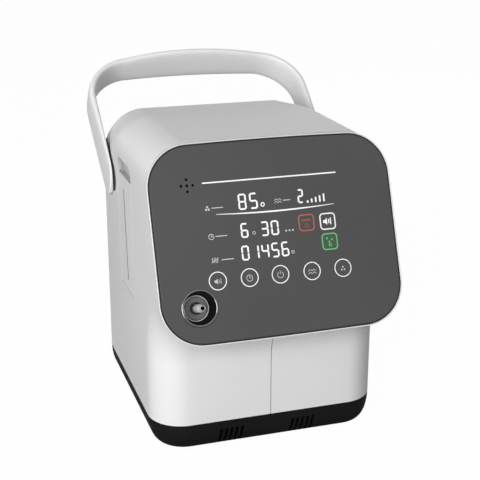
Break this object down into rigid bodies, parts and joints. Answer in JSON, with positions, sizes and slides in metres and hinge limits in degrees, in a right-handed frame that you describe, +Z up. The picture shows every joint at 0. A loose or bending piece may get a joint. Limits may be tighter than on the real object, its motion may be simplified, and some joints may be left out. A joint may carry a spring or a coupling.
{
  "type": "oxygen concentrator",
  "caption": "Free-standing home oxygen concentrator: white split casing on a black base, sloped dark control panel with a recessed outlet nozzle, swinging strap handle, side filter door.",
  "frame": {"origin": "on the floor, under the middle of the base tray", "axes": "+Z up, -Y out of the front, +X to the viewer's right as one faces the panel"},
  "size_m": [0.234, 0.3415, 0.3341],
  "materials": {
    "white_casing": "satin white",
    "black_base": "fine texture",
    "rubber": "matt",
    "pale_rim": "satin",
    "dark_panel": "smooth",
    "chrome": "polished",
    "grey_disc": "polished",
    "black_plastic": "satin",
    "board": "lacquered",
    "brass": "turned",
    "steel": "plain",
    "bush_plastic": "plain",
    "grey_plastic": "plain",
    "filter_paper": "paper",
    "motor_iron": "painted",
    "cast_aluminium": "as cast",
    "vessel": "smooth",
    "hose": "clear grey"
  },
  "bodies": {
    "casing": {"left_shell": "white_casing", "right_shell": "white_casing", "base_tray": "black_base", "rubber_feet": "rubber", "bezel_frame": "pale_rim", "control_panel": "dark_panel", "outlet_ring": "chrome", "outlet_cup": "black_plastic", "outlet_disc": "grey_disc", "outlet_gasket": "rubber", "outlet_nozzle": "chrome", "display_board": "board", "display_module": "black_plastic", "touch_pads": "black_plastic", "display_posts": "brass", "speaker": "black_plastic", "handle_bushes": "bush_plastic", "handle_washers": "bush_plastic", "filter_box": "grey_plastic", "filter_frame": "grey_plastic", "filter_pleats": "filter_paper", "rear_panel": "white_casing", "fan_frame": "black_plastic", "mains_inlet": "black_plastic", "switch_body": "black_plastic", "compressor_motor": "motor_iron", "left_cylinder_head": "cast_aluminium", "right_cylinder_head": "cast_aluminium", "compressor_mounts": "rubber", "left_sieve_column": "vessel", "right_sieve_column": "vessel", "column_bottom_caps": "cast_aluminium", "column_top_caps": "cast_aluminium", "oxygen_tank": "vessel", "valve_block": "cast_aluminium", "solenoid_valves": "black_plastic", "exhaust_muffler": "black_plastic", "flow_valve": "grey_plastic", "intake_hose": "hose", "air_hoses": "hose", "oxygen_hose": "hose", "power_board": "board", "control_board": "board", "board_posts": "brass", "ion_generator": "black_plastic", "bezel_screws": "steel", "rear_screws": "steel", "base_screws": "steel"},
    "handle": {"handle": "white_casing", "handle_pins": "steel"},
    "filter_door": {"filter_cover": "white_casing"},
    "fan_wheel": {"fan_rotor": "black_plastic"},
    "rocker": {"switch_rocker": "black_plastic"}
  },
  "joints": [
    {"name": "handle_swing", "type": "hinge", "parent": "casing", "child": "handle", "pos_m": [0, 0.0666, 0.2275], "axis": [1, 0, 0], "range_deg": [0, 70]},
    {"name": "filter_door_tilt", "type": "hinge", "parent": "casing", "child": "filter_door", "pos_m": [-0.1095, 0, 0.1305], "axis": [0, -1, 0], "range_deg": [0, 70]},
    {"name": "fan_spin", "type": "hinge", "parent": "casing", "child": "fan_wheel", "pos_m": [0, 0.092, 0.146], "axis": [0, 1, 0], "continuous": true},
    {"name": "rocker_tip", "type": "hinge", "parent": "casing", "child": "rocker", "pos_m": [-0.034, 0.1041, 0.066], "axis": [1, 0, 0], "range_deg": [0, 18]}
  ]
}
